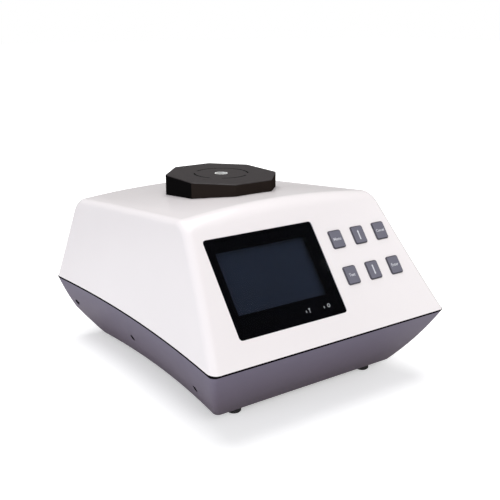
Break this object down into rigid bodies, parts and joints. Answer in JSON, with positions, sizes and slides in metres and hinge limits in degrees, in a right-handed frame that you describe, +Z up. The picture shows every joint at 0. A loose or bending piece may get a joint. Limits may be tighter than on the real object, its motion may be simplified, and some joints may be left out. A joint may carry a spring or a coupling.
{
  "type": "benchtop colorimeter",
  "caption": "Benchtop colorimeter with a sloped front panel holding a display and soft keys, an upward measuring port in a raised octagonal plate, and rear power and data sockets.",
  "frame": {"origin": "middle of the footprint, on the bench", "axes": "+Z up, front with the panel towards -Y, +X to the user's right"},
  "size_m": [0.298, 0.3509, 0.2055],
  "materials": {
    "housing_white": "moulded, glossy",
    "base_grey": "moulded, fine satin",
    "port_black": "satin black",
    "liner_white": "reflecting white",
    "sphere_white": "reflecting white",
    "rubber_black": "matte",
    "steel_screw": "zinc plated",
    "steel_black": "black oxide",
    "deck_steel": "galvanised sheet",
    "alu": "machined",
    "alu_black": "black anodised",
    "brass_plain": "turned",
    "window_glass": "smoked, gloss",
    "clear_glass": "clear",
    "mirror_face": "ruled mirror",
    "gasket_foam": "foam tape",
    "lcd_dark": "display, off",
    "frame_steel": "pressed sheet",
    "board_green": "solder resist",
    "chip_black": "moulded",
    "key_grey": "moulded, satin",
    "mat_silicone": "silicone",
    "light_pipe": "frosted clear"
  },
  "bodies": {
    "body": {"lower_housing": "base_grey", "upper_housing": "housing_white", "side_screws": "steel_black", "feet": "rubber_black", "foot_screws": "steel_screw", "deck": "deck_steel", "deck_screws": "steel_screw", "port_plate": "port_black", "port_screws": "steel_screw", "sphere_lower": "sphere_white", "sphere_upper": "sphere_white", "sphere_posts": "alu", "sphere_screws": "steel_screw", "post_screws": "steel_screw", "lamp_holder": "alu_black", "lamp": "clear_glass", "lens_tube": "alu_black", "lens": "clear_glass", "lens_ring": "alu_black", "slit_plate": "alu_black", "spectrometer_body": "alu_black", "spectrometer_cover": "alu_black", "cover_screws": "steel_screw", "spectrometer_screws": "steel_screw", "grating_mount": "alu_black", "grating": "mirror_face", "detector_board": "board_green", "display_window": "window_glass", "window_gasket": "gasket_foam", "lcd_panel": "lcd_dark", "lcd_frame": "frame_steel", "display_board": "board_green", "display_screws": "steel_screw", "status_leds": "light_pipe", "key_mat": "mat_silicone", "tact_switches": "chip_black", "keypad_board": "board_green", "keypad_screws": "steel_screw", "rear_plate": "alu_black", "rear_screws": "steel_black", "dc_jack": "port_black", "jack_nut": "steel_screw", "usb_port": "steel_screw", "rear_board": "board_green", "power_switch": "port_black", "main_board": "board_green", "standoffs": "brass_plain", "board_screws": "steel_screw", "board_components": "chip_black"},
    "key_menu": {"key_menu": "key_grey"},
    "key_up": {"key_up": "key_grey"},
    "key_cancel": {"key_cancel": "key_grey"},
    "key_test": {"key_test": "key_grey"},
    "key_down": {"key_down": "key_grey"},
    "key_enter": {"key_enter": "key_grey"},
    "power_rocker": {"power_rocker": "port_black"},
    "aperture_insert": {"aperture_insert": "port_black", "aperture_liner": "liner_white"}
  },
  "joints": [
    {"name": "key_menu_press", "type": "slide", "parent": "body", "child": "key_menu", "axis": [0, 0.7875, -0.6163], "range_m": [0, 0.0008], "stiffness_N_per_m": 300, "springref_m": -0.001},
    {"name": "key_up_press", "type": "slide", "parent": "body", "child": "key_up", "axis": [0, 0.7875, -0.6163], "range_m": [0, 0.0008], "stiffness_N_per_m": 300, "springref_m": -0.001},
    {"name": "key_cancel_press", "type": "slide", "parent": "body", "child": "key_cancel", "axis": [0, 0.7875, -0.6163], "range_m": [0, 0.0008], "stiffness_N_per_m": 300, "springref_m": -0.001},
    {"name": "key_test_press", "type": "slide", "parent": "body", "child": "key_test", "axis": [0, 0.7875, -0.6163], "range_m": [0, 0.0008], "stiffness_N_per_m": 300, "springref_m": -0.001},
    {"name": "key_down_press", "type": "slide", "parent": "body", "child": "key_down", "axis": [0, 0.7875, -0.6163], "range_m": [0, 0.0008], "stiffness_N_per_m": 300, "springref_m": -0.001},
    {"name": "key_enter_press", "type": "slide", "parent": "body", "child": "key_enter", "axis": [0, 0.7875, -0.6163], "range_m": [0, 0.0008], "stiffness_N_per_m": 300, "springref_m": -0.001},
    {"name": "rocker_turn", "type": "hinge", "parent": "body", "child": "power_rocker", "pos_m": [0.038, 0.17053, 0.11024], "axis": [1, 0, 0], "range_deg": [0, 16]},
    {"name": "insert_lift", "type": "slide", "parent": "body", "child": "aperture_insert", "axis": [0, 0, 1], "range_m": [0, 0.06]}
  ]
}
